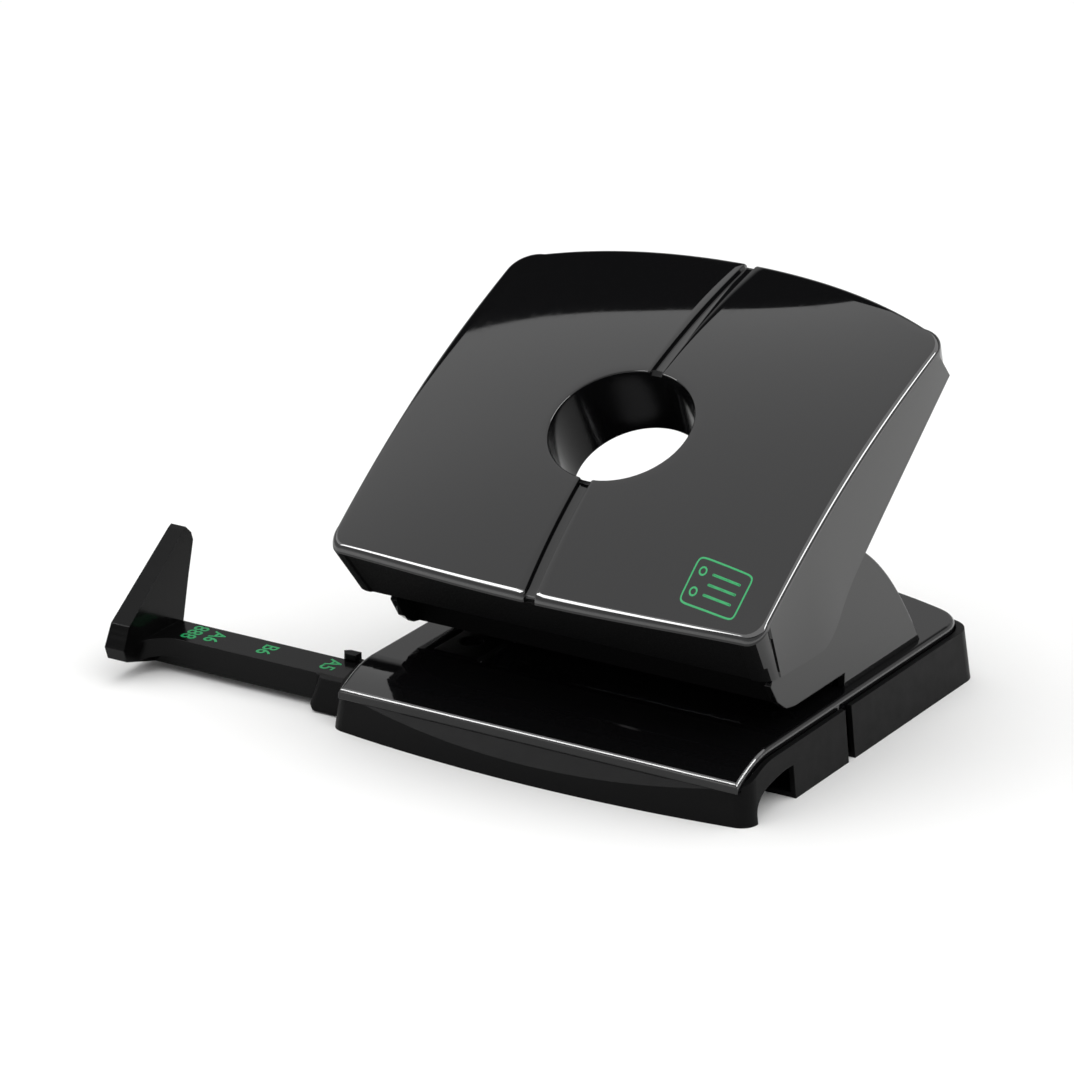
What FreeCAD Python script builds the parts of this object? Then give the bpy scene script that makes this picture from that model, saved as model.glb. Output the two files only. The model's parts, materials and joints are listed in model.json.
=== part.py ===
import FreeCAD, Part
import math
import os

# Two-hole paper punch with a paper guide bar. Millimetres, +Z up.
# X runs across the paper, Y runs from the user to the back. The origin is on the desk,
# midway between the two punch pins, so the pins stand at X = +/- half the hole spacing, Y = 0.

V = FreeCAD.Vector

# Driving dimensions
HOLE_SPACING = 80.0
HOLE_R = 2.75
PAPER_MARGIN = 12.0
TABLE_Z = 13.9
SLOT_HEIGHT = 3.6
SHEET = 1.2
RUNNING_GAP = 0.05
FAR = 200.0

# Base: half widths, and the Y of its front and back edges at the sides and in the middle
TRAY_HALF_W = 53.0
TRAY_DRAFT = 1.2
TRAY_RIM_Z = 12.0
TRAY_WALL = 1.2
TRAY_FRONT_SIDE_Y = -37.5
TRAY_FRONT_MID_Y = -41.8
TRAY_BACK_SIDE_Y = 63.4
TRAY_BACK_MID_Y = 74.0
TRAY_FRONT_CORNER_R = 4.0
TRAY_BACK_CORNER_R = 5.8
PLATE_HALF_W = 50.3
PLATE_FRONT_Y = -38.0
PLATE_BACK_SIDE_Y = 62.3
PLATE_BACK_MID_Y = 72.3
PLATE_CORNER_R = 10.0
PLATE_EDGE_R = 1.1
PLATE_SKIRT_Z = 10.4
PLATE_NOSE_Z = 9.9
LIP_SEAM_Z = 7.7
PLATE_GAP = 0.3
ROLL_LENGTH = 13.0
ROLL_KNEE = (5.2, 2.4)
HINGE_Y = 6.9
HINGE_Z = 0.45
HINGE_SLIT = 2.8
HINGE_WEB = 0.5
HINGE_WEB_GAP = 0.3
HINGE_WEB_INSET = 3.0

# Guide bar, its stop and its rail
BAR_FRONT_Y = -29.3
BAR_BACK_Y = -19.5
BAR_BOTTOM_Z = 1.8
BAR_TOP_Z = 8.3
BAR_WALL = 1.4
BAR_END_X = 9.0
STOP_X = -105.0
STOP_THICK_BOTTOM = 5.2
STOP_THICK_TOP = 4.0
STOP_TOP_Z = 29.8
BAR_SOLID_END = 16.0
SWOOP_R = 7.0
SWOOP_BOTTOM_Z = 4.0
RAIL_LEFT_X = -61.0
RAIL_RIGHT_X = 43.0
RAIL_WALL = 1.2
RAIL_GAP = 0.2
RAIL_LIP = 0.3
SLEEVE_PAD = 1.4
SLEEVE_TOP_X = -59.7
SLEEVE_FOOT = (-62.1, 2.2)
POINTER_X = -61.6
ARCH_FRONT_Y = -33.3
ARCH_BACK_Y = -17.6
ARCH_TOP_Z = 9.7
ARCH_R = 6.0

# Punch mechanism
PIVOT_Y = 20.0
PIVOT_Z = 32.0
AXLE_R = 2.5
AXLE_FIT = 0.02
AXLE_END_X = 46.2
CLIP_THICK = 0.8
CLIP_NECK_R = 1.9
CLIP_RIM = 2.2
CLIP_MOUTH = 3.0
PIN_STROKE = 5.5
PIN_PAST_PLATE = 0.4
PIN_HOLLOW_R = 3.6
PIN_HOLLOW_DEPTH = 1.0
CAP_TOP_Z = 42.0
CAP_R = 4.3
CAP_BOTTOM_Z = 38.4
CAP_DOME_R = 5.0
CAP_FLOOR = 1.2
PRESSER_GAP = 0.15
GUIDE_FRONT_Y = -8.0
GUIDE_TOP_Z = 28.0
GUIDE_INNER_X = 33.5
WEB_X = 43.6
WEB_EYE_R = 7.0
DIE_THICK = 1.6
DIE_FRONT_Y = -8.0
DIE_BACK_Y = 30.0
RIVETS = [(38.5, 19.0), (38.5, 26.0)]
RIVET_R = 1.5
RIVET_HEAD_R = 2.8
RIVET_HEAD = 1.0
SPRING_WIRE_R = 0.4
SPRING_COIL_R = 3.5
SPRING_TURNS = 5.5
YOKE_SHEET = 1.6
YOKE_ARM_X = 43.4
YOKE_FRONT_Y = -5.0
YOKE_BACK_Y = 8.0
YOKE_EYE_R = 6.5

# Housing over the mechanism
HOUSING_HALF_W = 48.0
HOUSING_WALL = 1.6
HOUSING_BACK_Y = 45.8
HOUSING_FRONT_WALL_Y = -11.0
HOUSING_FRONT_WALL_TOP_Z = 38.0
HOUSING_SCREWS = [(20.0, 34.0)]
HOUSING_POST = 9.0
HOUSING_RIB = 7.0
RIB_THICK = 1.6

# Lever hood
HOOD_HALF_W = 54.6
HOOD_WALL = 2.2
HOOD_DEPTH_BACK = 11.0
HOOD_HOLE_R = 16.3
HOOD_HOLE_LOW_R = 15.1
HOOD_HOLE_Y = -3.0
HOOD_HOLE_Z = 70.6
HOOD_HOLE_TILT = 29.0
HOOD_TUBE_LENGTH = 18.1
HOOD_GROOVE_W = 2.7
HOOD_GROOVE_DEPTH = 1.2
BOSS_X = 30.0
BOSS_Y = 1.5
BOSS_R = 3.6
SCREW_R = 1.5
SCREW_HEAD_R = 2.8
SCREW_HEAD = 1.4
SCREW_SLOT = 0.7

PIN_X = HOLE_SPACING / 2
SLOT_TOP_Z = TABLE_Z + SLOT_HEIGHT
PLATE_BOTTOM_Z = TABLE_Z - SHEET
PIN_TIP_Z = PLATE_BOTTOM_Z - PIN_PAST_PLATE + PIN_STROKE
GUIDE_R = HOLE_R + RUNNING_GAP
YOKE_BOTTOM_Z = CAP_TOP_Z + PRESSER_GAP
YOKE_TOP_Z = YOKE_BOTTOM_Z + YOKE_SHEET

# Hood side outlines as (y, z): top line on the middle and at the sides, then the skirt's edge
HOOD_MID = [(-40.3, 42.9), (-18.3, 61.6), (11.5, 77.4), (53.2, 90.6)]
HOOD_EDGE = [(-36.0, 42.6), (-12.0, 59.4), (12.7, 73.2), (42.1, 85.8)]
HOOD_SKIRT = [(11.0, 46.4), (3.6, 39.3), (0.1, 33.3), (-4.0, 30.1), (-6.8, 29.6), (-28.4, 29.9)]

# Housing side outline as (y, z): from the back foot up the curved back, then round the front
HOUSING_BACK = [(HOUSING_BACK_Y, TABLE_Z), (35.4, 28.4), (22.4, 41.1), (13.0, 46.8)]
HOUSING_FRONT = [(2.0, 47.0), (-8.0, 42.0), (-18.0, 30.0), (-20.4, 25.5), (-17.2, 20.8),
                 (-13.5, 18.2), (-9.7, SLOT_TOP_Z)]

# Paper stop's side outline as (y, z)
STOP_SIDE = [(BAR_FRONT_Y, BAR_BOTTOM_Z), (-40.4, 5.2), (-41.5, 8.2), (-39.2, 13.3), (-17.8, 29.2),
             (-16.7, STOP_TOP_Z), (-14.6, 27.8), (-13.9, 25.8), (-16.1, 17.5), (-18.2, BAR_TOP_Z),
             (BAR_BACK_Y, BAR_BOTTOM_Z)]

# Right-hand arch of the front tray as (y, z), up from its front foot
ARCH_SIDE = [(-33.7, 1.3), (-32.9, 4.2), (-30.7, 5.9), (-26.6, 7.0), (-21.0, 7.7), (ARCH_BACK_Y, 7.6)]


def box(x0, x1, y0, y1, z0, z1):
    return Part.makeBox(x1 - x0, y1 - y0, z1 - z0, V(x0, y0, z0))


def rod_x(x0, x1, y, z, r):
    return Part.makeCylinder(r, x1 - x0, V(x0, y, z), V(1, 0, 0))


def rod_z(x, y, z0, z1, r):
    return Part.makeCylinder(r, z1 - z0, V(x, y, z0), V(0, 0, 1))


def line(p, q):
    return Part.makeLine(V(*p), V(*q))


def arc(p, q, r):
    return Part.Arc(V(*p), V(*q), V(*r)).toShape()


def spline(points, **tangents):
    """Smooth edge through the points; InitialTangent and FinalTangent may be given."""
    curve = Part.BSplineCurve()
    curve.interpolate([V(*p) for p in points], **tangents)
    return curve.toShape()


def side_polygon(x, points):
    """Closed wire in a plane of constant X, through (y, z) points."""
    places = [V(x, y, z) for y, z in points]
    return Part.makePolygon(places + places[:1])


def slab_x(x0, x1, points):
    """Side outline of (y, z) points, extruded along X."""
    return Part.Face(side_polygon(x0, points)).extrude(V(x1 - x0, 0, 0))


def slab_z(z0, z1, points):
    """Plan outline of (x, y) points, extruded along Z."""
    places = [V(x, y, z0) for x, y in points]
    return Part.Face(Part.makePolygon(places + places[:1])).extrude(V(0, 0, z1 - z0))


def mirrored(shape):
    return shape.mirror(V(0, 0, 0), V(1, 0, 0))


def both_sides(shape):
    return [shape, mirrored(shape)]


def fillet_where(shape, radius, wanted):
    edges = [e for e in shape.Edges if wanted(e)]
    return shape.makeFillet(radius, edges)


def upright(edge):
    """True for an edge that climbs more than it runs, such as a corner of a drafted tray."""
    ends = [v.Point for v in edge.Vertexes]
    if len(ends) != 2:
        return False
    rise = abs(ends[0].z - ends[1].z)
    return rise > 0.8 * ends[0].distanceToPoint(ends[1])


# ---------------------------------------------------------------- base: plate and trays

def plan_wire(z, half_w, front_side, front_mid, back_side, back_mid):
    """Base outline: straight sides, front and back edges bowed outwards."""
    front = arc((-half_w, front_side, z), (0, front_mid, z), (half_w, front_side, z))
    right = line((half_w, front_side, z), (half_w, back_side, z))
    back = arc((half_w, back_side, z), (0, back_mid, z), (-half_w, back_side, z))
    left = line((-half_w, back_side, z), (-half_w, front_side, z))
    return Part.Wire([front, right, back, left])


def tray_wire(z, inset):
    return plan_wire(z, TRAY_HALF_W - inset, TRAY_FRONT_SIDE_Y + inset, TRAY_FRONT_MID_Y + inset,
                     TRAY_BACK_SIDE_Y - inset, TRAY_BACK_MID_Y - inset)


def tray_block(z0, z1, wall):
    """Drafted tray outline between two heights, inset by a wall thickness."""
    insets = [wall + TRAY_DRAFT * z / TRAY_RIM_Z for z in (z0, z1)]
    block = Part.makeLoft([tray_wire(z, inset) for z, inset in zip((z0, z1), insets)], True, True)
    block = fillet_where(block, TRAY_FRONT_CORNER_R - wall,
                         lambda e: upright(e) and e.CenterOfMass.y < 0)
    return fillet_where(block, TRAY_BACK_CORNER_R - wall,
                        lambda e: upright(e) and e.CenterOfMass.y > TRAY_BACK_SIDE_Y / 2)


def plate_block(z0, z1, grow):
    """Plate outline between two heights, grown all round: straight front, bowed back."""
    front = PLATE_FRONT_Y - grow
    back_side = PLATE_BACK_SIDE_Y + grow
    half_w = PLATE_HALF_W + grow
    outline = [line((-half_w, front, z0), (half_w, front, z0)),
               line((half_w, front, z0), (half_w, back_side, z0)),
               arc((half_w, back_side, z0), (0, PLATE_BACK_MID_Y + grow, z0), (-half_w, back_side, z0)),
               line((-half_w, back_side, z0), (-half_w, front, z0))]
    block = Part.Face(Part.Wire(outline)).extrude(V(0, 0, z1 - z0))
    return fillet_where(block, PLATE_CORNER_R + grow,
                        lambda e: upright(e) and e.CenterOfMass.y > PLATE_BACK_SIDE_Y / 2)


def roll_slab(x0, x1, drop, front):
    """Everything under the rolled front of the plate, lowered by drop and cut off at front."""
    y0, y1 = PLATE_FRONT_Y, PLATE_FRONT_Y + ROLL_LENGTH
    z0, z1 = PLATE_NOSE_Z - drop, TABLE_Z - drop
    roll = spline([(x0, y0, z0), (x0, y0 + ROLL_KNEE[0], z0 + ROLL_KNEE[1]), (x0, y1, z1)],
                  InitialTangent=V(0, 5, 2.8), FinalTangent=V(0, 5, 0))
    corners = [(x0, y1, z1), (x0, FAR, z1), (x0, FAR, -1), (x0, front, -1), (x0, front, z0), (x0, y0, z0)]
    rest = [line(p, q) for p, q in zip(corners, corners[1:])]
    return Part.Face(Part.Wire([roll] + rest)).extrude(V(x1 - x0, 0, 0))


def plate_skirt_cut():
    """Space under the plate's turned-down edge, which is deeper at the front."""
    return slab_x(-FAR, FAR, [(-FAR, -1), (-FAR, LIP_SEAM_Z), (PLATE_FRONT_Y + 1, LIP_SEAM_Z),
                              (PLATE_FRONT_Y + 6, PLATE_SKIRT_Z), (FAR, PLATE_SKIRT_Z), (FAR, -1)])


def make_base_plate():
    """Pressed steel table: flat top, rolled front, turned-down edge all round."""
    outer = plate_block(0, TABLE_Z, 0).common(roll_slab(-FAR, FAR, 0, PLATE_FRONT_Y - 1))
    outer = fillet_where(outer, PLATE_EDGE_R,
                         lambda e: e.BoundBox.ZMin > PLATE_NOSE_Z - 0.1 and not crosses_top(e))
    inner = plate_block(-1, TABLE_Z - SHEET, -SHEET)
    inner = inner.common(roll_slab(-FAR, FAR, SHEET, PLATE_FRONT_Y - 1))
    plate = outer.cut(inner).cut(plate_skirt_cut())
    plate = plate.cut(both_sides(rod_z(PIN_X, 0, 0, TABLE_Z + 1, GUIDE_R)))
    for x, y in RIVETS + HOUSING_SCREWS:
        plate = plate.cut(both_sides(rod_z(x, y, 0, TABLE_Z + 1, RIVET_R)))
    return plate


def crosses_top(edge):
    """True for the line across the plate where the roll meets the flat, which isn't an edge."""
    reach = edge.BoundBox
    return reach.YLength < 0.01 and reach.YMin > PLATE_FRONT_Y + 0.5 and reach.XLength > 10


def rail_way():
    """Where the rail and bar pass through the front tray: an arch in each side, open below."""
    left = box(-FAR, 0, ARCH_FRONT_Y, ARCH_BACK_Y, -1, ARCH_TOP_Z)
    left = fillet_where(left, ARCH_R, lambda e: e.BoundBox.XLength > FAR / 2
                        and e.CenterOfMass.z > ARCH_TOP_Z - 0.1
                        and e.CenterOfMass.y < ARCH_FRONT_Y + 0.1)
    curve = spline([(0, y, z) for y, z in ARCH_SIDE])
    corners = [(0,) + ARCH_SIDE[-1], (0, ARCH_BACK_Y, -1), (0, ARCH_SIDE[0][0], -1), (0,) + ARCH_SIDE[0]]
    rest = [line(p, q) for p, q in zip(corners, corners[1:])]
    return left.fuse(Part.Face(Part.Wire([curve] + rest)).extrude(V(FAR, 0, 0)))


def above_crescent(drop):
    """Everything above the slope that runs from the plate's front seam down to the lip."""
    z = LIP_SEAM_Z - drop
    y = PLATE_FRONT_Y
    return slab_x(-FAR, FAR, [(y, z), (y, FAR), (y - FAR, FAR), (y - FAR, z - FAR)])


def tray_shell():
    """Both tray mouldings before they are parted at the hinge."""
    cavity = tray_block(TRAY_WALL, PLATE_SKIRT_Z - 0.4, TRAY_WALL)
    cavity = cavity.cut(above_crescent(2 * TRAY_WALL))
    shell = tray_block(0, TRAY_RIM_Z, 0).cut(cavity)
    return shell.cut(plate_block(PLATE_SKIRT_Z - 0.5, TRAY_RIM_Z + 1, PLATE_GAP))


def hinge_web(y0, y1):
    """Half of the thin web at the bottom that the chip tray swings on."""
    reach = TRAY_HALF_W - HINGE_WEB_INSET
    return box(-reach, reach, y0, y1, HINGE_Z - HINGE_WEB / 2, HINGE_Z + HINGE_WEB / 2)


def make_front_tray():
    """Front moulding: rounded lip, sloping crescent, side walls that follow the roll."""
    edge = HINGE_Y - HINGE_SLIT / 2
    tray = tray_shell().common(box(-FAR, FAR, -FAR, edge, -1, FAR))
    tray = tray.common(roll_slab(-FAR, FAR, TABLE_Z - TRAY_RIM_Z, -FAR))
    tray = tray.cut(above_crescent(0)).cut(plate_block(LIP_SEAM_Z, FAR, 0.02))
    tray = tray.cut(rail_way())
    return tray.fuse(hinge_web(edge - 0.1, HINGE_Y - HINGE_WEB_GAP)).removeSplitter()


def make_chip_tray():
    """Back moulding: the chip container, which opens downwards on the film hinge."""
    edge = HINGE_Y + HINGE_SLIT / 2
    tray = tray_shell().common(box(-FAR, FAR, edge, FAR, -1, FAR))
    return tray.fuse(hinge_web(HINGE_Y + HINGE_WEB_GAP, edge + 0.1)).removeSplitter()


def make_die_strip():
    """Hardened strip under the plate that the pins cut against."""
    top = PLATE_BOTTOM_Z
    strip = box(-WEB_X, WEB_X, DIE_FRONT_Y, DIE_BACK_Y, top - DIE_THICK, top)
    strip = strip.cut(both_sides(rod_z(PIN_X, 0, 0, TABLE_Z, GUIDE_R)))
    for x, y in RIVETS:
        strip = strip.cut(both_sides(rod_z(x, y, 0, TABLE_Z, RIVET_R)))
    return strip


# ---------------------------------------------------------------- base: brackets and housing

def make_bracket():
    """Right-hand bracket: web with the axle hole, two pin guides, paper stop and foot."""
    x0, x1 = WEB_X, WEB_X + SHEET
    eye = WEB_EYE_R
    low = SLOT_TOP_Z + 0.1
    web = slab_x(x0, x1, [(GUIDE_FRONT_Y, low), (PAPER_MARGIN, low), (PAPER_MARGIN, TABLE_Z),
                          (DIE_BACK_Y, TABLE_Z), (PIVOT_Y + eye, PIVOT_Z),
                          (PIVOT_Y - eye * 0.8, PIVOT_Z + eye * 0.6),
                          (-GUIDE_FRONT_Y, GUIDE_TOP_Z), (GUIDE_FRONT_Y, GUIDE_TOP_Z)])
    web = web.fuse(rod_x(x0, x1, PIVOT_Y, PIVOT_Z, eye))
    lower = box(GUIDE_INNER_X, x0, GUIDE_FRONT_Y, PAPER_MARGIN + SHEET, low, low + SHEET)
    upper = box(GUIDE_INNER_X, x0, GUIDE_FRONT_Y, -GUIDE_FRONT_Y, GUIDE_TOP_Z - SHEET, GUIDE_TOP_Z)
    stop = box(GUIDE_INNER_X, x0, PAPER_MARGIN, PAPER_MARGIN + SHEET, TABLE_Z, SLOT_TOP_Z + 1)
    foot = box(GUIDE_INNER_X, x0, PAPER_MARGIN, DIE_BACK_Y, TABLE_Z, TABLE_Z + SHEET)
    bracket = web.fuse([lower, upper, stop, foot])
    bracket = bracket.cut(rod_z(PIN_X, 0, SLOT_TOP_Z, GUIDE_TOP_Z + 1, GUIDE_R))
    bracket = bracket.cut(rod_x(x0 - 1, x1 + 1, PIVOT_Y, PIVOT_Z, AXLE_R + AXLE_FIT))
    for x, y in RIVETS:
        bracket = bracket.cut(rod_z(x, y, TABLE_Z - 1, TABLE_Z + 3, RIVET_R))
    return bracket.removeSplitter()


def make_rivets():
    """Rivets through bracket foot, plate and die strip."""
    low = PLATE_BOTTOM_Z - DIE_THICK
    high = TABLE_Z + SHEET
    rivets = []
    for x, y in RIVETS:
        rivet = rod_z(x, y, low - RIVET_HEAD, low, RIVET_HEAD_R)
        rivet = rivet.fuse([rod_z(x, y, low, high, RIVET_R),
                            rod_z(x, y, high, high + RIVET_HEAD, RIVET_HEAD_R)])
        rivets += both_sides(rivet.removeSplitter())
    return Part.makeCompound(rivets)


def housing_outline(x, inset):
    """Side outline of the housing: foot at the back, long curved back, nose, paper slot."""
    back = [(x, y - inset, z) for y, z in HOUSING_BACK[:-1]]
    top_y, top_z = HOUSING_BACK[-1]
    back.append((x, top_y, top_z - inset))
    front = [(x, y + inset, z) for y, z in HOUSING_FRONT]
    slot = [(x, PAPER_MARGIN + inset, SLOT_TOP_Z), (x, PAPER_MARGIN + inset, TABLE_Z)]
    rest = Part.makePolygon([V(*p) for p in [back[-1]] + front + slot + [back[0]]])
    return Part.Wire(spline(back).Edges + rest.Edges)


def make_housing():
    """Moulded cover: two cheeks joined by the curved back and a set-back front wall."""
    inner_x = HOUSING_HALF_W - HOUSING_WALL
    outer = Part.Face(housing_outline(-HOUSING_HALF_W, 0)).extrude(V(2 * HOUSING_HALF_W, 0, 0))
    space = Part.Face(housing_outline(-inner_x, HOUSING_WALL)).extrude(V(2 * inner_x, 0, 0))
    roof = box(-inner_x, inner_x, -FAR, FAR, HOUSING_FRONT_WALL_TOP_Z, FAR)
    front = box(-inner_x, inner_x, -FAR, PAPER_MARGIN + HOUSING_WALL, 0, FAR)
    under = box(-inner_x, inner_x, -FAR, HOUSING_BACK_Y - 6, 0, TABLE_Z + 3)
    shell = outer.cut([space, roof, front, under])
    wall = box(-inner_x, inner_x, HOUSING_FRONT_WALL_Y, HOUSING_FRONT_WALL_Y + HOUSING_WALL,
               SLOT_TOP_Z, HOUSING_FRONT_WALL_TOP_Z)
    parts = [wall]
    for x, y in HOUSING_SCREWS:
        post = rod_z(x, y, TABLE_Z, TABLE_Z + HOUSING_POST, BOSS_R)
        rib = box(x - RIB_THICK / 2, x + RIB_THICK / 2, y, HOUSING_BACK_Y - 4,
                  TABLE_Z, TABLE_Z + HOUSING_RIB)
        hole = rod_z(x, y, TABLE_Z - 1, TABLE_Z + HOUSING_POST - 2, SCREW_R)
        parts += both_sides(post.fuse(rib).cut(hole))
    housing = shell.fuse(parts).removeSplitter()
    return housing.common(outer)


def screw(x, y, seat_z, length):
    """Cross-head screw driven upwards, its head under seat_z."""
    body = rod_z(x, y, seat_z, seat_z + length, SCREW_R)
    head = rod_z(x, y, seat_z - SCREW_HEAD, seat_z, SCREW_HEAD_R)
    reach = SCREW_HEAD_R * 0.6
    slot = box(x - reach, x + reach, y - SCREW_SLOT / 2, y + SCREW_SLOT / 2,
               seat_z - SCREW_HEAD - 1, seat_z - SCREW_HEAD / 2)
    cross = slot.copy()
    cross.rotate(V(x, y, 0), V(0, 0, 1), 90)
    return body.fuse(head).removeSplitter().cut([slot, cross])


def make_housing_screws():
    screws = []
    for x, y in HOUSING_SCREWS:
        screws += both_sides(screw(x, y, PLATE_BOTTOM_Z, 8.0))
    return Part.makeCompound(screws)


def make_axle():
    """Pivot axle with a groove for a clip near each end."""
    axle = rod_x(-AXLE_END_X, AXLE_END_X, PIVOT_Y, PIVOT_Z, AXLE_R)
    x0 = WEB_X + SHEET
    ring = rod_x(x0, x0 + CLIP_THICK, PIVOT_Y, PIVOT_Z, AXLE_R + 1)
    ring = ring.cut(rod_x(x0, x0 + CLIP_THICK, PIVOT_Y, PIVOT_Z, CLIP_NECK_R))
    return axle.cut(ring).cut(mirrored(ring))


def make_axle_clips():
    """E-shaped clips in the axle's grooves."""
    x0 = WEB_X + SHEET
    x1 = x0 + CLIP_THICK
    clip = rod_x(x0, x1, PIVOT_Y, PIVOT_Z, AXLE_R + CLIP_RIM)
    clip = clip.cut(rod_x(x0, x1, PIVOT_Y, PIVOT_Z, CLIP_NECK_R))
    clip = clip.cut(box(x0, x1, PIVOT_Y - CLIP_MOUTH / 2, PIVOT_Y + CLIP_MOUTH / 2, PIVOT_Z, FAR))
    return Part.makeCompound(both_sides(clip))


# ---------------------------------------------------------------- punch pins

def make_pin(x):
    """Punch pin with a hollow-ground cutting end, so it shears from its two horns inwards."""
    pin = rod_z(x, 0, PIN_TIP_Z, CAP_TOP_Z - CAP_FLOOR, HOLE_R)
    hollow = rod_x(x - CAP_R, x + CAP_R, 0, PIN_TIP_Z + PIN_HOLLOW_DEPTH - PIN_HOLLOW_R, PIN_HOLLOW_R)
    return pin.cut(hollow)


def make_cap(x):
    """Domed cap pressed on the pin's top; the spring bears on its rim."""
    cap = rod_z(x, 0, CAP_BOTTOM_Z, CAP_TOP_Z, CAP_R)
    cap = cap.common(Part.makeSphere(CAP_DOME_R, V(x, 0, CAP_TOP_Z - CAP_DOME_R)))
    return cap.cut(rod_z(x, 0, CAP_BOTTOM_Z - 1, CAP_TOP_Z - CAP_FLOOR, HOLE_R))


def make_spring(x):
    """Compression spring between the upper guide and the cap."""
    low = GUIDE_TOP_Z + SPRING_WIRE_R
    height = CAP_BOTTOM_Z - SPRING_WIRE_R - low
    path = Part.makeHelix(height / SPRING_TURNS, height, SPRING_COIL_R)
    circle = Part.Wire(Part.makeCircle(SPRING_WIRE_R, V(SPRING_COIL_R, 0, 0), V(0, 1, 0)))
    spring = Part.Wire(path).makePipeShell([circle], True, True)
    spring.translate(V(x, 0, low))
    return spring


# ---------------------------------------------------------------- lever

def hood_edge_share(x):
    """0 on the middle line, 1 at the hood's sides."""
    return (x / HOOD_HALF_W) ** 2


def between(mid, edge, share):
    return tuple(a + (b - a) * share for a, b in zip(mid, edge))


def back_depth(mid_point, end_point, depth):
    """Point depth below the end of the hood's top line, square to that line."""
    dy = end_point[0] - mid_point[0]
    dz = end_point[1] - mid_point[1]
    length = math.hypot(dy, dz)
    return (end_point[0] + dz / length * depth * 0.6, end_point[1] - dy / length * depth)


def hood_section(x, wall):
    """Closed outline of the hood at one X: top line, back edge, skirt, chin."""
    share = hood_edge_share(x)
    top = [between(m, e, share) for m, e in zip(HOOD_MID, HOOD_EDGE)]
    tail = back_depth(top[2], top[3], HOOD_DEPTH_BACK)
    if wall:
        top = [(top[0][0] + wall * 1.1, top[0][1] - wall * 0.2), (top[1][0], top[1][1] - wall * 1.3),
               (top[2][0], top[2][1] - wall * 1.15), (top[3][0] - wall, top[3][1] - wall * 1.5)]
        tail = (tail[0] - wall * 1.3, tail[1] - wall)
        chin = (HOOD_SKIRT[-1][0] + wall * 1.3, 20.0)
        skirt = [(40.0, 20.0), chin]
    else:
        skirt = HOOD_SKIRT
    edges = [spline([(x, y, z) for y, z in top])]
    corners = [top[3], tail] + skirt + [top[0]]
    edges += [line((x,) + p, (x,) + q) for p, q in zip(corners, corners[1:])]
    return Part.Wire(edges)


def hood_loft(half_w, wall):
    stations = [half_w * k / 3 for k in range(-3, 4)]
    return Part.makeLoft([hood_section(x, wall) for x in stations], True, False)


def hole_rod(grow, above, below):
    """Tapered rod on the hood hole's tilted axis, grown by a wall thickness."""
    tilt = math.radians(HOOD_HOLE_TILT)
    down = V(0, math.sin(tilt), -math.cos(tilt))
    start = V(0, HOOD_HOLE_Y, HOOD_HOLE_Z) - down * above
    taper = (HOOD_HOLE_R - HOOD_HOLE_LOW_R) / HOOD_TUBE_LENGTH
    wide = HOOD_HOLE_R + grow + taper * above
    narrow = HOOD_HOLE_R + grow - taper * below
    return Part.makeCone(wide, narrow, above + below, start, down)


def make_lever_cover():
    """Glossy hood: curved top, chin, side skirts, tilted round hole with its own wall."""
    outer = hood_loft(HOOD_HALF_W, 0)
    inner = hood_loft(HOOD_HALF_W - HOOD_WALL, HOOD_WALL)
    hood = outer.cut(inner)
    tube = hole_rod(HOOD_WALL * 0.7, 20, HOOD_TUBE_LENGTH)
    boss = rod_z(BOSS_X, BOSS_Y, YOKE_TOP_Z, FAR, BOSS_R)
    rib = box(BOSS_X - RIB_THICK / 2, BOSS_X + RIB_THICK / 2, BOSS_Y - 8, BOSS_Y + 8, 52, FAR)
    inside = [piece.common(outer) for piece in [tube] + both_sides(boss) + both_sides(rib)]
    hood = hood.fuse(inside)
    hood = hood.cut(hole_rod(0, 30, HOOD_TUBE_LENGTH + 10))
    hood = hood.cut(both_sides(rod_z(BOSS_X, BOSS_Y, YOKE_TOP_Z - 1, YOKE_TOP_Z + 9, SCREW_R)))
    sunk = hood_loft(HOOD_HALF_W, 0)
    sunk.translate(V(0, 0, -HOOD_GROOVE_DEPTH))
    strip = box(-HOOD_GROOVE_W / 2, HOOD_GROOVE_W / 2, -FAR, FAR, HOOD_SKIRT[-1][1] + 12, FAR)
    return hood.cut(strip.common(outer).cut(sunk)).removeSplitter()


def make_yoke():
    """Bent steel yoke under the hood: presser plate over the pins, arms down to the axle."""
    eye = YOKE_EYE_R
    arm_in = YOKE_ARM_X - YOKE_SHEET
    arm = slab_x(arm_in, YOKE_ARM_X, [(YOKE_FRONT_Y, YOKE_BOTTOM_Z), (YOKE_BACK_Y, YOKE_BOTTOM_Z),
                                      (PIVOT_Y - eye, PIVOT_Z),
                                      (PIVOT_Y + eye * 0.7, PIVOT_Z + eye * 0.7),
                                      (YOKE_BACK_Y + 3, YOKE_TOP_Z + 5), (YOKE_FRONT_Y, YOKE_TOP_Z + 3)])
    arm = arm.fuse(rod_x(arm_in, YOKE_ARM_X, PIVOT_Y, PIVOT_Z, eye))
    plate = box(-arm_in, arm_in, YOKE_FRONT_Y, YOKE_BACK_Y, YOKE_BOTTOM_Z, YOKE_TOP_Z)
    yoke = plate.fuse(both_sides(arm))
    yoke = yoke.cut(rod_x(-FAR, FAR, PIVOT_Y, PIVOT_Z, AXLE_R + RUNNING_GAP))
    yoke = yoke.cut(both_sides(rod_z(BOSS_X, BOSS_Y, YOKE_BOTTOM_Z - 1, YOKE_TOP_Z + 1, SCREW_R)))
    return yoke.removeSplitter()


def make_lever_screws():
    return Part.makeCompound(both_sides(screw(BOSS_X, BOSS_Y, YOKE_BOTTOM_Z, 10.0)))


# ---------------------------------------------------------------- paper guide

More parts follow.
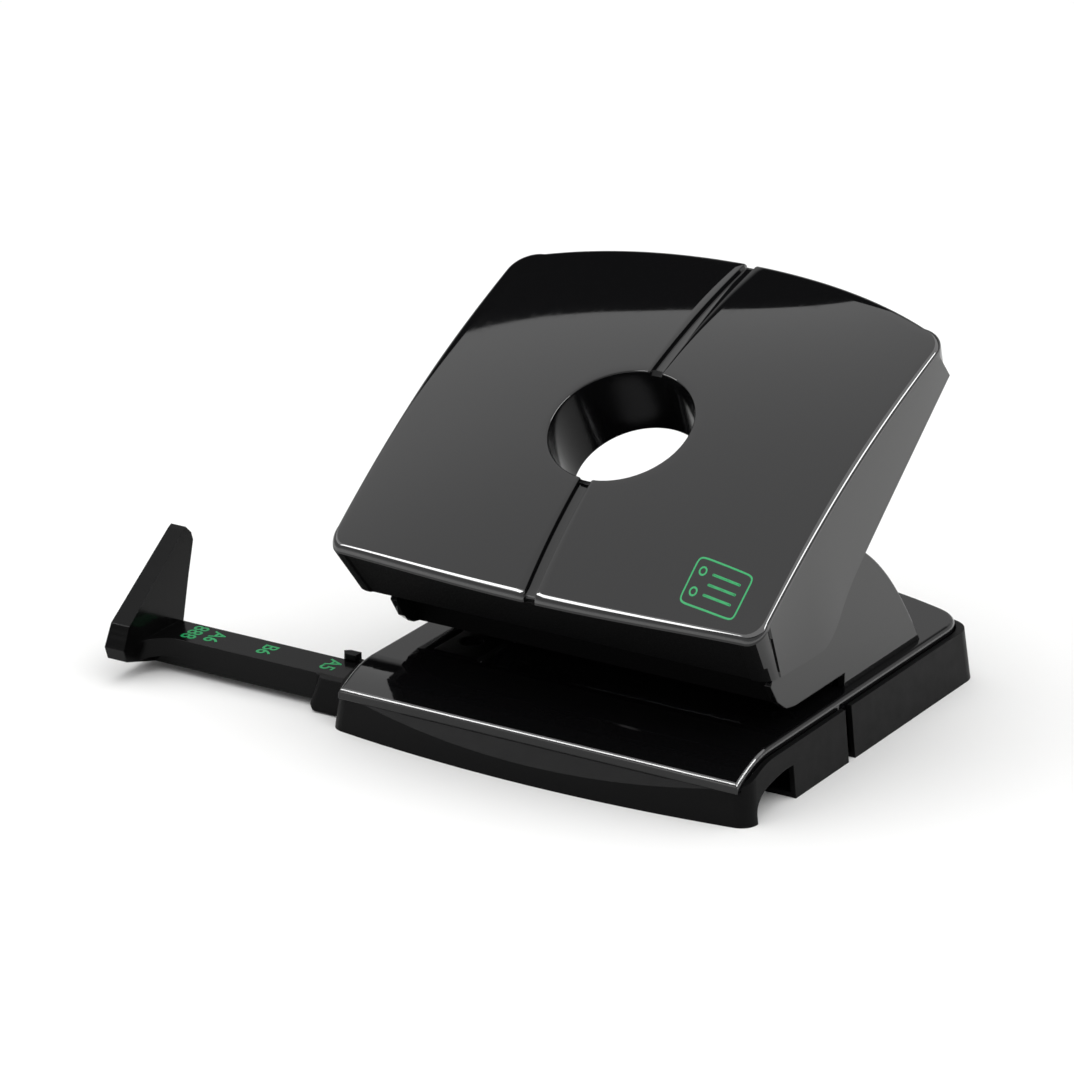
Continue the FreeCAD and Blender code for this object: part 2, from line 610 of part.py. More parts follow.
def make_guide_bar():
    """Channel-shaped bar with the upright stop at its outer end, one moulding."""
    bar = box(STOP_X, BAR_END_X, BAR_FRONT_Y, BAR_BACK_Y, BAR_BOTTOM_Z, BAR_TOP_Z)
    hollow = box(STOP_X + BAR_SOLID_END, BAR_END_X - 3, BAR_FRONT_Y + BAR_WALL,
                 BAR_BACK_Y - BAR_WALL, 0, BAR_TOP_Z - BAR_WALL)
    foot_x = STOP_X - STOP_THICK_BOTTOM
    fin = slab_x(foot_x, STOP_X, STOP_SIDE)
    lean = [(foot_x, BAR_TOP_Z), (STOP_X - STOP_THICK_TOP, STOP_TOP_Z), (-FAR, STOP_TOP_Z),
            (-FAR, BAR_TOP_Z)]
    outside = Part.makePolygon([V(x, -FAR, z) for x, z in lean + lean[:1]])
    fin = fin.cut(Part.Face(outside).extrude(V(0, FAR, 0)))
    x, y, r = STOP_X, BAR_FRONT_Y, SWOOP_R
    swoop = slab_z(SWOOP_BOTTOM_Z, BAR_TOP_Z, [(x, y), (x + r, y), (x, y - r)])
    swoop = swoop.cut(rod_z(x + r, y - r, 0, FAR, r))
    return bar.cut(hollow).fuse([fin, swoop]).removeSplitter()


def make_rail():
    """Open-topped channel under the plate; its left end is the sleeve with the pointer."""
    front = BAR_FRONT_Y - RAIL_GAP - RAIL_WALL
    back = BAR_BACK_Y + RAIL_GAP + RAIL_WALL
    floor = BAR_BOTTOM_Z - RAIL_GAP
    rail = box(RAIL_LEFT_X, RAIL_RIGHT_X, front, back, floor - RAIL_WALL, BAR_TOP_Z + RAIL_LIP)
    rail = rail.cut(box(RAIL_LEFT_X - 1, RAIL_RIGHT_X + 1, BAR_FRONT_Y - RAIL_GAP,
                        BAR_BACK_Y + RAIL_GAP, floor, BAR_TOP_Z + 1))
    pad_y = front - SLEEVE_PAD
    low, high = floor - RAIL_WALL, BAR_TOP_Z + RAIL_LIP
    inner_x = -TRAY_HALF_W - PLATE_GAP
    side = [(inner_x, high), (SLEEVE_TOP_X, high), SLEEVE_FOOT, (RAIL_LEFT_X, low), (inner_x, low)]
    places = [V(x, pad_y, z) for x, z in side]
    sleeve = Part.Face(Part.makePolygon(places + places[:1])).extrude(V(0, SLEEVE_PAD + 0.1, 0))
    sleeve = fillet_where(sleeve, SLEEVE_PAD * 0.9, lambda e: abs(e.CenterOfMass.y - pad_y) < 0.01
                          and SLEEVE_FOOT[0] < e.CenterOfMass.x < SLEEVE_TOP_X
                          and e.CenterOfMass.z > SLEEVE_FOOT[1])
    x0, x1, x2 = POINTER_X, POINTER_X + 1.2, POINTER_X + 4.0
    tip = back + 0.6
    pointer = slab_z(BAR_TOP_Z - 2.0, BAR_TOP_Z + 1.6,
                     [(x0, back - 0.4), (x1, back - 1.9), (x2, back - 1.9), (x2, tip), (x1, tip)])
    pointer = pointer.cut(box(-FAR, 0, BAR_FRONT_Y, BAR_BACK_Y + RAIL_GAP, 0, BAR_TOP_Z + 0.3))
    return rail.fuse([sleeve, pointer]).removeSplitter()


def main():
    right_bracket = make_bracket()
    nodes = {
        "base_plate": make_base_plate(),
        "front_tray": make_front_tray(),
        "chip_tray": make_chip_tray(),
        "die_strip": make_die_strip(),
        "bracket_right": right_bracket,
        "bracket_left": mirrored(right_bracket),
        "bracket_rivets": make_rivets(),
        "housing_cover": make_housing(),
        "housing_screws": make_housing_screws(),
        "pivot_axle": make_axle(),
        "axle_clips": make_axle_clips(),
        "lever_cover": make_lever_cover(),
        "lever_yoke": make_yoke(),
        "lever_screws": make_lever_screws(),
        "guide_bar": make_guide_bar(),
        "guide_rail": make_rail(),
    }
    for side, x in (("left", -PIN_X), ("right", PIN_X)):
        nodes["punch_pin_" + side] = make_pin(x)
        nodes["spring_cap_" + side] = make_cap(x)
        nodes["return_spring_" + side] = make_spring(x)
    os.makedirs("parts", exist_ok=True)
    for name, shape in nodes.items():
        shape.exportStep("parts/" + name + ".step")
        print(name, "valid", shape.isValid(), "solids", len(shape.Solids),
              "volume %.1f" % shape.Volume)


main()
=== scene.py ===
import json
import math
from collections import namedtuple

import bmesh
import bpy
from mathutils import Matrix, Vector


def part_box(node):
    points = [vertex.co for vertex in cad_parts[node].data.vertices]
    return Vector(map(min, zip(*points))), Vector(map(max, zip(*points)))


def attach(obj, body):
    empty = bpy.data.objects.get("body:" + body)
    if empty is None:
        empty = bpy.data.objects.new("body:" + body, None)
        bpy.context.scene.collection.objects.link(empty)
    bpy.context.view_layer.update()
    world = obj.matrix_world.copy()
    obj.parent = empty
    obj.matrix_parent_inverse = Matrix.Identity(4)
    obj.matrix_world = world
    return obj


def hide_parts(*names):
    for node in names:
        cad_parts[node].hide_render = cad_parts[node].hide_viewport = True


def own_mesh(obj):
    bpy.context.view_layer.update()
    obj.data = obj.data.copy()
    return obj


# Looks of a two-hole paper punch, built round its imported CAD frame. +Z up, +X to the user's right,
# +Y to the back. The object's lengths are millimetres, turned to metres by MM where a mesh is made.
# The camera, lights and floor are placed in metres.

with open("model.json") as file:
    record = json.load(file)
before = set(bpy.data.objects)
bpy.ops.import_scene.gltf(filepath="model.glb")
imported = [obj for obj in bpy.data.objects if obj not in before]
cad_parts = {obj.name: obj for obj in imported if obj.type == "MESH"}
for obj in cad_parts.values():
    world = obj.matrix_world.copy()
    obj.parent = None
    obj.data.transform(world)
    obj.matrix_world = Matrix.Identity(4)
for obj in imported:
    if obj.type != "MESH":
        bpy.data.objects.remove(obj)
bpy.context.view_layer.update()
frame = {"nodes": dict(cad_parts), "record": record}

MM = 0.001
SPOT = Vector((0.65328, -1.08922, 0.53194))
AZIMUTH = math.radians(31.83)
ELEVATION = math.radians(21.05)
LENS = 210.33
SENSOR = 36.0
HOUSING_WALL = 1.6
HOUSING_INSIDE_Y = 12.0
HIGHLIGHT_EDGE_NORMAL_Z = (0.15, 0.84)


# ---------------------------------------------------------------- materials

def new_material(name, colour, roughness, metallic=0.0):
    """Principled material and its shader node."""
    material = bpy.data.materials.new(name)
    material.use_nodes = True
    shader = material.node_tree.nodes["Principled BSDF"]
    shader.inputs["Base Color"].default_value = (*colour, 1.0)
    shader.inputs["Roughness"].default_value = roughness
    shader.inputs["Metallic"].default_value = metallic
    return material, shader


def noise(material, scale, detail=3.0, stretch=(1, 1, 1)):
    """Noise in object space, scale in features per metre; returns its factor socket."""
    nodes, links = material.node_tree.nodes, material.node_tree.links
    place = nodes.new("ShaderNodeTexCoord")
    mapping = nodes.new("ShaderNodeMapping")
    mapping.inputs["Scale"].default_value = stretch
    texture = nodes.new("ShaderNodeTexNoise")
    texture.inputs["Scale"].default_value = scale
    texture.inputs["Detail"].default_value = detail
    links.new(place.outputs["Object"], mapping.inputs["Vector"])
    links.new(mapping.outputs["Vector"], texture.inputs["Vector"])
    return texture.outputs["Fac"]


def remap(material, source, low, high, out_low, out_high):
    """Source between low and high becomes out_low to out_high."""
    node = material.node_tree.nodes.new("ShaderNodeMapRange")
    for socket, value in zip(node.inputs[1:5], (low, high, out_low, out_high)):
        socket.default_value = value
    material.node_tree.links.new(source, node.inputs[0])
    return node.outputs[0]


def add_bump(material, shader, height, strength, distance, edge=0.25):
    """Bump over slightly rounded edges; edge is their radius in millimetres."""
    bump = material.node_tree.nodes.new("ShaderNodeBump")
    if edge:
        bevel = material.node_tree.nodes.new("ShaderNodeBevel")
        bevel.samples = 4
        bevel.inputs["Radius"].default_value = edge * MM
        material.node_tree.links.new(bevel.outputs["Normal"], bump.inputs["Normal"])
    bump.inputs["Strength"].default_value = strength
    bump.inputs["Distance"].default_value = distance
    links = material.node_tree.links
    links.new(height, bump.inputs["Height"])
    links.new(bump.outputs["Normal"], shader.inputs["Normal"])


def gloss_plastic(name, edge, specular=0.4, rough_low=0.03, rough_high=0.06):
    """Polished black moulding: faint waviness and fine wipe marks in its gloss."""
    material, shader = new_material(name, (0.0035, 0.0035, 0.0038), 0.05)
    shader.inputs["Specular IOR Level"].default_value = specular
    marks = noise(material, 900.0, 4.0, (1.0, 0.25, 1.0))
    material.node_tree.links.new(remap(material, marks, 0.5, 0.8, rough_low, rough_high),
                                 shader.inputs["Roughness"])
    add_bump(material, shader, noise(material, 60.0, 1.0), 0.01, 0.0006, edge)
    return material


def table_enamel(name, specular):
    """Gloss enamel on pressed steel, with a very slight orange peel."""
    material, shader = new_material(name, (0.003, 0.003, 0.0033), 0.05)
    shader.inputs["Specular IOR Level"].default_value = specular
    peel = noise(material, 700.0, 2.0)
    material.node_tree.links.new(remap(material, peel, 0.3, 0.8, 0.03, 0.08),
                                 shader.inputs["Roughness"])
    add_bump(material, shader, peel, 0.02, 0.00005)
    return material


def tray_plastic():
    """Spark-eroded black moulding: fine even grain, dull; its colour follows the grain's height, paler
    on the peaks and darker in the hollows, as painted shade.
    """
    material, shader = new_material("tray_black", (0.004, 0.004, 0.0042), 0.4)
    shader.inputs["Specular IOR Level"].default_value = 0.07
    grain = noise(material, 4500.0, 4.0)
    # Colour ramp driven by the bump's own grain: the hollows darker, the peaks paler, a painted shade
    # in the grain.
    colour = material.node_tree.nodes.new("ShaderNodeValToRGB")
    colour.color_ramp.elements[0].color = (0.001, 0.001, 0.0011, 1)
    colour.color_ramp.elements[1].color = (0.004, 0.004, 0.0042, 1)
    links = material.node_tree.links
    links.new(grain, colour.inputs["Fac"])
    links.new(colour.outputs["Color"], shader.inputs["Base Color"])
    links.new(remap(material, noise(material, 300.0), 0.3, 0.7, 0.34, 0.44),
              shader.inputs["Roughness"])
    add_bump(material, shader, grain, 0.25, 0.0001)
    return material


def bar_plastic():
    """Satin black moulding of the guide bar, with faint drag marks along its travel."""
    material, shader = new_material("bar_black", (0.002, 0.002, 0.0021), 0.2)
    shader.inputs["Specular IOR Level"].default_value = 0.1
    drag = noise(material, 1200.0, 3.0, (0.05, 1.0, 1.0))
    material.node_tree.links.new(remap(material, drag, 0.35, 0.75, 0.12, 0.24),
                                 shader.inputs["Roughness"])
    add_bump(material, shader, drag, 0.05, 0.00005)
    return material


def steel(name, colour, rough_low, rough_high, stretch):
    """Bare metal with its grain drawn out along one way."""
    material, shader = new_material(name, colour, rough_low, 1.0)
    grain = noise(material, 2500.0, 5.0, stretch)
    material.node_tree.links.new(remap(material, grain, 0.3, 0.7, rough_low, rough_high),
                                 shader.inputs["Roughness"])
    add_bump(material, shader, grain, 0.1, 0.00003)
    return material


def matte_black(name, rough_low, rough_high, specular):
    """Dull black finish with a fine uneven tooth."""
    material, shader = new_material(name, (0.0015, 0.0015, 0.0016), rough_low)
    shader.inputs["Specular IOR Level"].default_value = specular
    tooth = noise(material, 3000.0, 3.0)
    material.node_tree.links.new(remap(material, tooth, 0.3, 0.7, rough_low, rough_high),
                                 shader.inputs["Roughness"])
    add_bump(material, shader, tooth, 0.15, 0.00005)
    return material


def green_print():
    """Opaque printing ink, a little uneven."""
    material, shader = new_material("print_green", (0.0, 0.30, 0.085), 0.4)
    links = material.node_tree.links
    links.new(remap(material, noise(material, 2500.0), 0.3, 0.7, 0.3, 0.5), shader.inputs["Roughness"])
    return material


def make_materials():
    """All materials of the object, by name."""
    return {
        "hood_black": gloss_plastic("hood_black", 0.0),
        # Hole wall: the hood gloss made rougher as a less polished bore, and its specular level
        # lowered to 0.12 so the bore reads darker: painted shade.
        "hole_dull_and_shade": gloss_plastic("hole_dull_and_shade", 0.0, 0.12, 0.14, 0.18),
        # Edge-round copy of the hood gloss with its specular level raised to 1.0, so the lamp lines
        # along the hood's edges read brighter than on the rest of the gloss: painted highlight.
        "hood_edge_highlight": gloss_plastic("hood_edge_highlight", 0.0, 1.0),
        "print_green": green_print(),
        # Dull black with almost no specular: the real finish of the hood's inside, bosses and ribs,
        # and also laid on the hood's chin and the housing's inside as painted shade.
        "dull_black_and_shade": matte_black("dull_black_and_shade", 0.6, 0.8, 0.04),
        # Dark dull finish on the steel brackets, so the mechanism seen through the paper slot reads
        # dark: painted shade.
        "black_steel": matte_black("black_steel", 0.35, 0.5, 0.15),
        "gloss_black": gloss_plastic("gloss_black", 0.4),
        "table_black": table_enamel("table_black", 0.4),
        # Copy of the plate enamel with its specular level raised to 1.0, laid on the sloping edge
        # faces so the lamp lines there read bright: painted highlight.
        "table_edge_highlight": table_enamel("table_edge_highlight", 1.0),
        "tray_black": tray_plastic(),
        "bar_black": bar_plastic(),
        "plain_steel": steel("plain_steel", (0.55, 0.55, 0.56), 0.28, 0.42, (1, 1, 1)),
        "bright_steel": steel("bright_steel", (0.66, 0.66, 0.68), 0.12, 0.26, (1, 1, 0.1)),
        "spring_steel": steel("spring_steel", (0.4, 0.4, 0.42), 0.25, 0.38, (1, 1, 1)),
    }


def paint_faces(mesh, material, chosen):
    """Give the faces that chosen picks a further material."""
    mesh.materials.append(material)
    for face in mesh.polygons:
        if chosen(face):
            face.material_index = len(mesh.materials) - 1


def dress_cad_nodes(materials):
    """Every CAD node gets its slot's material; the housing cover's inside faces get a dull black as
    painted shade, and the base plate's sloping edge faces a more reflective enamel as painted
    highlight.
    """
    for row in frame["record"]["subparts"]:
        node = frame["nodes"][row["node"]]
        node.data.materials.clear()
        node.data.materials.append(materials[row["material_slot"]])
    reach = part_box("housing_cover")[1].x - HOUSING_WALL * MM / 2
    # The housing cover's faces inside the cheeks take the dull black so the space behind the paper
    # slot reads dark: painted shade.
    paint_faces(frame["nodes"]["housing_cover"].data, materials["dull_black_and_shade"],
                lambda face: abs(face.center.x) < reach and face.center.y < HOUSING_INSIDE_Y * MM)
    # Faces whose normal tilts between these heights are the edge rounds; they get the more reflective
    # enamel as painted highlight.
    paint_faces(frame["nodes"]["base_plate"].data, materials["table_edge_highlight"],
                lambda face: HIGHLIGHT_EDGE_NORMAL_Z[0] < face.normal.z < HIGHLIGHT_EDGE_NORMAL_Z[1])


# ---------------------------------------------------------------- mesh helpers

SHARP_ANGLE = math.radians(30.0)
ARC_HANDLE = 0.55


def mesh_object(name, places, faces, material):
    """Smooth shaded object from millimetre places; edges over SHARP_ANGLE stay crisp."""
    made = bmesh.new()
    vertices = [made.verts.new(Vector(place) * MM) for place in places]
    for face in faces:
        made.faces.new([vertices[k] for k in face])
    bmesh.ops.recalc_face_normals(made, faces=made.faces)
    mesh = bpy.data.meshes.new(name)
    made.to_mesh(mesh)
    made.free()
    mesh.materials.append(material)
    mesh.shade_smooth()
    mesh.set_sharp_from_angle(angle=SHARP_ANGLE)
    piece = bpy.data.objects.new(name, mesh)
    bpy.context.scene.collection.objects.link(piece)
    return piece


def grid_faces(rows, columns, close_rows, close_columns):
    """Quads between neighbouring places of a grid stored row by row."""
    faces = []
    for i in range(rows if close_rows else rows - 1):
        for j in range(columns if close_columns else columns - 1):
            i2, j2 = (i + 1) % rows, (j + 1) % columns
            faces.append((i * columns + j, i * columns + j2, i2 * columns + j2, i2 * columns + j))
    return faces


def spread(start, end, count):
    """Evenly spaced values from start to end, both included."""
    return [start + (end - start) * k / (count - 1) for k in range(count)]


def mix(a, b, share):
    return a + (b - a) * share


def curve_height(knots, y):
    """Height of a smooth line through (y, z, slope) knots, straight beyond its ends."""
    first, last = knots[0], knots[-1]
    if y <= first[0]:
        return first[1] + (y - first[0]) * first[2]
    if y >= last[0]:
        return last[1] + (y - last[0]) * last[2]
    for (y0, z0, slope0), (y1, z1, slope1) in zip(knots, knots[1:]):
        if y <= y1:
            run = y1 - y0
            s = (y - y0) / run
            bend = slope0 * run * (s ** 3 - 2 * s ** 2 + s) + slope1 * run * (s ** 3 - s ** 2)
            return mix(z0, z1, 3 * s ** 2 - 2 * s ** 3) + bend


def rounded_line(points, rounds):
    """Polyline with its inner corners cut, a little more at each round."""
    for _ in range(rounds):
        cut = [points[0]]
        for p, q in zip(points, points[1:]):
            cut += [mix(p, q, 0.25), mix(p, q, 0.75)]
        points = cut + [points[-1]]
    return points


def along(points, share):
    """Place at a share of a polyline's length."""
    runs = [(q - p).length for p, q in zip(points, points[1:])]
    left = share * sum(runs)
    for p, q, run in zip(points, points[1:], runs):
        if left <= run:
            return mix(p, q, left / run)
        left -= run
    return points[-1]


def corner_arc(start, end, corner, count):
    """Round stretch from start to end, pulled towards the corner."""
    near_start, near_end = mix(start, corner, ARC_HANDLE), mix(end, corner, ARC_HANDLE)
    arc = []
    for t in spread(0, 1, count):
        back = 1 - t
        arc.append(back ** 3 * start + 3 * back ** 2 * t * near_start
                   + 3 * back * t * t * near_end + t ** 3 * end)
    return arc


def edge_round(corner, inward, down, radius, steps):
    """Places and outward normals round an edge, from the face along inward to the one along down."""
    rounded = []
    for angle in spread(0, math.pi / 2, steps + 1):
        sine, cosine = math.sin(angle), math.cos(angle)
        place = corner + inward * radius * (1 - sine) + down * radius * (1 - cosine)
        rounded.append((place, -(inward * sine + down * cosine).normalized()))
    return rounded


# ---------------------------------------------------------------- lever hood

HOOD_HALF_W = 54.6
HOOD_FRONT_HALF_W = 54.0
HOOD_MID = [(-40.3, 42.9, 1.05), (-2.2, 70.8, 0.52), (53.2, 90.6, 0.22)]
HOOD_EDGE = [(-36.0, 42.6, 0.76), (-1.7, 65.6, 0.575), (42.1, 85.8, 0.39)]
HOOD_FRONT_R = 4.0
HOOD_BACK_R = 6.0
HOOD_EDGE_R = 1.2
HOOD_WALL = 2.2
HOOD_DROP = 2.6
CHIN_FOOT = Vector((52.35, -28.4, 29.9))
CHIN_RECESS = 0.5
CREASE = 0.35
BAND_DEPTH = 1.7
CHIN_STEP = (0.9, 0.6)
CHIN_TOP_GAP = 0.4
CHIN_NORMAL_Y = -0.5
SIDE_FOOT = [(-24.4, 29.9), (-6.8, 29.6), (-4.0, 30.1), (0.1, 33.3), (3.6, 39.3), (11.0, 46.4),
             (47.0, 76.2)]
FOOT_ROUNDS = 3
CREASE_RUNS = (0.12, 0.35, 0.6)
SIDE_FOOT_HALF_W = (52.35, 53.3)
TAIL_DEPTH = 11.0
TAIL_SLOPE = 0.45
HOLE_R = 16.3
HOLE_LOW_R = 15.1
HOLE_CENTRE = Vector((0, -3.0, 70.6))
HOLE_TILT = math.radians(29.0)
HOLE_DOWN = Vector((0, math.sin(HOLE_TILT), -math.cos(HOLE_TILT)))
HOLE_BACK = Vector((0, math.cos(HOLE_TILT), math.sin(HOLE_TILT)))
HOLE_LENGTH = 18.1
HOLE_WALL = 1.5
HOLE_RIM_R = 0.5
GROOVE_DEPTH = 1.2
GROOVE_PROFILE = [(0.0, 1.0), (1.05, 1.0), (1.2, 0.97), (1.28, 0.85), (1.38, 0.3), (1.5, 0.1),
                  (1.75, 0.0)]
FRONT_RAYS = 27
CORNER_RAYS = 9
SIDE_RAYS = 60
BACK_CORNER_RAYS = 10
BACK_RAYS = 22

# How many steps each stretch of a hood section has, and where its edge and inside begin.
HOLE_STEPS = 6
RIM_STEPS = 6
TOP_STEPS = 26
EDGE_STEPS = 8
WALL_STEPS = 10
EDGE_FROM = HOLE_STEPS + RIM_STEPS + TOP_STEPS - 1
EDGE_TO = EDGE_FROM + EDGE_STEPS
INSIDE_FROM = EDGE_TO + 2 + WALL_STEPS
UNDER_STEPS = 8
COLLAR_STEPS = 4
RIM_GAP = 0.6
HOOD_SLOTS = ("hood_black", "dull_black_and_shade", "hole_dull_and_shade", "hood_edge_highlight")


def hood_top(x, y):
    """Place on the hood's top surface."""
    middle, edge = curve_height(HOOD_MID, y), curve_height(HOOD_EDGE, y)
    return Vector((x, y, mix(middle, edge, (x / HOOD_HALF_W) ** 2)))


def plan_front(x):
    return mix(HOOD_MID[0][0], HOOD_EDGE[0][0], (x / HOOD_HALF_W) ** 2)


def plan_back(x):
    return mix(HOOD_MID[-1][0], HOOD_EDGE[-1][0], (x / HOOD_HALF_W) ** 2)


# A ray of the hood: the top edge's plan place, the foot of the wall below it, the recess of that
# wall, whether the edge band stands proud there, and how deep the middle groove is.
Ray = namedtuple("Ray", "top foot recess band groove")


def front_rays(flat, narrow):
    """Rays along the front edge, from its middle to the corner."""
    columns = [(x, CHIN_RECESS, depth) for x, depth in GROOVE_PROFILE]
    plain = spread(GROOVE_PROFILE[-1][0], flat - CHIN_STEP[0], FRONT_RAYS)[1:]
    columns += [(x, CHIN_RECESS, 0.0) for x in plain]
    columns.append((flat - CHIN_STEP[1], 0.0, 0.0))
    rays = []
    for x, recess, depth in columns:
        foot = Vector((x * narrow, CHIN_FOOT.y, CHIN_FOOT.z))
        rays.append(Ray(Vector((x, plan_front(x), 0)), foot, recess, True, depth))
    return rays


def front_corner_rays(flat, narrow, top_side, foot_side):
    """Rays round the front corner."""
    tops = corner_arc(Vector((flat, plan_front(flat), 0)), top_side,
                      Vector((HOOD_FRONT_HALF_W, plan_front(flat), 0)), CORNER_RAYS)
    feet = corner_arc(Vector((flat * narrow, CHIN_FOOT.y, CHIN_FOOT.z)), foot_side,
                      CHIN_FOOT, CORNER_RAYS)
    return [Ray(top, foot, 0.0, True, 0.0) for top, foot in zip(tops, feet)]


def side_rays(top_side, back_side):
    """Rays along the side, with a crease where it leaves the front corner."""
    side_foot = rounded_line([Vector((0, y, z)) for y, z in SIDE_FOOT], FOOT_ROUNDS)
    reach = (back_side - top_side).length
    shares = [run / reach for run in CREASE_RUNS] + spread(0, 1, SIDE_RAYS)[1:]
    recesses = [CREASE, CREASE] + [0.0] * len(shares)
    rays = []
    for share, recess in zip(shares, recesses):
        foot = along(side_foot, share)
        foot.x = mix(*SIDE_FOOT_HALF_W, share)
        rays.append(Ray(mix(top_side, back_side, share), foot, recess, False, 0.0))
    return rays


def back_rays(back_side):
    """Rays round the back corner and along the tail to its middle."""
    flat = HOOD_HALF_W - HOOD_BACK_R
    tops = corner_arc(back_side, Vector((flat, plan_back(flat), 0)),
                      Vector((HOOD_HALF_W, plan_back(flat), 0)), BACK_CORNER_RAYS)[1:]
    plain = spread(flat, GROOVE_PROFILE[-1][0], BACK_RAYS)[1:]
    tops += [Vector((x, plan_back(x), 0)) for x in plain]
    depths = [0.0] * len(tops)
    for x, depth in reversed(GROOVE_PROFILE[:-1]):
        tops.append(Vector((x, plan_back(x), 0)))
        depths.append(depth)
    lean = Vector((0, TAIL_SLOPE, -math.sqrt(1 - TAIL_SLOPE ** 2))) * TAIL_DEPTH
    rays = []
    for top, depth in zip(tops, depths):
        foot = hood_top(top.x, top.y) + lean
        foot.x *= SIDE_FOOT_HALF_W[1] / HOOD_HALF_W
        rays.append(Ray(top, foot, 0.0, False, depth))
    return rays


def hood_rays():
    """Right-hand rays from the middle of the front edge round to the middle of the back edge."""
    flat = HOOD_FRONT_HALF_W - HOOD_FRONT_R
    narrow = CHIN_FOOT.x / HOOD_FRONT_HALF_W
    top_side = Vector((HOOD_FRONT_HALF_W, plan_front(flat) + HOOD_FRONT_R, 0))
    foot_side = Vector((SIDE_FOOT_HALF_W[0], *SIDE_FOOT[0]))
    back_side = Vector((HOOD_HALF_W, plan_back(HOOD_HALF_W - HOOD_BACK_R) - HOOD_BACK_R, 0))
    return (front_rays(flat, narrow) + front_corner_rays(flat, narrow, top_side, foot_side)
            + side_rays(top_side, back_side) + back_rays(back_side))


def on_hole(angle, grow, depth):
    """Place on the hole's tapered wall, grown by a thickness; depth runs down the axis."""
    radius = mix(HOLE_R, HOLE_LOW_R, depth / HOLE_LENGTH) + grow
    across = Vector((1, 0, 0)) * radius * math.cos(angle)
    return HOLE_CENTRE + across + HOLE_BACK * radius * math.sin(angle) + HOLE_DOWN * depth


def meet_top(angle, grow, drop):
    """Depth at which that wall meets the top surface lowered by drop."""
    depth = 0.0
    for _ in range(20):
        place = on_hole(angle, grow, depth)
        depth += place.z - hood_top(place.x, place.y).z + drop
    return depth


def way_along_top(start, end, share):
    """Unit direction along the top surface at start, towards end."""
    step = mix(start, end, share)
    return (hood_top(step.x, step.y) - start).normalized()


def outer_places(angle, edge, lip, down, inward, groove):
    """Up the hole's wall, over its rim, across the top and round the outer edge to the lip."""
    rim_depth = meet_top(angle, 0, 0)
    rim = on_hole(angle, 0, rim_depth)
    out, back = way_along_top(rim, edge, 0.05), way_along_top(edge, rim, 0.02)
    wall_end = rim_depth + HOLE_RIM_R + RIM_GAP
    wall = [on_hole(angle, 0, depth) for depth in spread(HOLE_LENGTH, wall_end, HOLE_STEPS)]
    loop = list(reversed(edge_round(rim, out, HOLE_DOWN, HOLE_RIM_R, RIM_STEPS)))
    start, end = rim + out * HOLE_RIM_R, edge + back * HOOD_EDGE_R
    for share in spread(0, 1, TOP_STEPS)[1:-1]:
        place = mix(start, end, share)
        place = hood_top(place.x, place.y)
        ahead = hood_top(place.x, place.y + 0.1) - place
        loop.append((place, Vector((0, -ahead.z, ahead.y)).normalized()))
    loop += edge_round(edge, back, down, HOOD_EDGE_R, EDGE_STEPS)
    loop.append((lip, -inward))
    return wall + [place - normal * groove * GROOVE_DEPTH for place, normal in loop]


def inner_places(angle, edge, lip, foot, recess, inward):
    """Down the side wall, and back along the inside of the hood to the foot of the hole's wall."""
    wall_top, wall_foot = lip + inward * recess, foot + inward * recess
    places = [mix(wall_top, wall_foot, share) for share in spread(0, 1, WALL_STEPS)]
    places.append(wall_foot + inward * (HOOD_WALL - recess))
    inner = edge + inward * HOOD_WALL * 1.1
    inner.z = hood_top(inner.x, inner.y).z - HOOD_DROP
    places += [mix(places[-1], inner, share) for share in (0.33, 0.67, 1.0)]
    meet = meet_top(angle, HOLE_WALL, HOOD_DROP)
    collar = on_hole(angle, HOLE_WALL, meet)
    for share in spread(0, 1, UNDER_STEPS)[1:-1]:
        place = mix(inner, collar, share)
        places.append(hood_top(place.x, place.y) - Vector((0, 0, HOOD_DROP)))
    places += [on_hole(angle, HOLE_WALL, depth) for depth in spread(meet, HOLE_LENGTH, COLLAR_STEPS)]
    return places


def hood_section(angle, ray, inward):
    """Closed loop on one ray: hole wall, rim, top, outer edge, wall, and back along the inside."""
    edge = hood_top(ray.top.x, ray.top.y)
    down = Vector((0, 0, -1)) if ray.band else (ray.foot - edge).normalized()
    lip = edge + down * BAND_DEPTH
    return (outer_places(angle, edge, lip, down, inward, ray.groove)
            + inner_places(angle, edge, lip, ray.foot, ray.recess, inward))


def hood_angles(count):
    """Angles round the hole for the rays: close together at the groove, even between."""
    groove = [-math.acos(x / HOLE_R) for x, _ in GROOVE_PROFILE]
    first = groove[-1]
    middle = spread(first, -first, count - 2 * len(groove) + 2)[1:-1]
    return groove + middle + [-angle for angle in reversed(groove)]


def hood_slot(face, step):
    """Name of a hood face's material; step is how far along its section it lies.

    The inside is dull; the chin below the edge band takes the same dull black as painted shade; the
    edge round takes a gloss with a raised specular level as painted highlight; the rest is gloss."""
    below_band = face.center.z < (HOOD_MID[0][1] - BAND_DEPTH - CHIN_TOP_GAP) * MM
    at_front = face.center.y < SIDE_FOOT[0][0] * MM and face.normal.y < CHIN_NORMAL_Y
    # The chin below the band takes the dull black so it reads dark: painted shade.
    if step >= INSIDE_FROM or (below_band and at_front):
        return "dull_black_and_shade"
    if step < HOLE_STEPS:
        return "hole_dull_and_shade"
    return "hood_edge_highlight" if EDGE_FROM <= step < EDGE_TO else "hood_black"


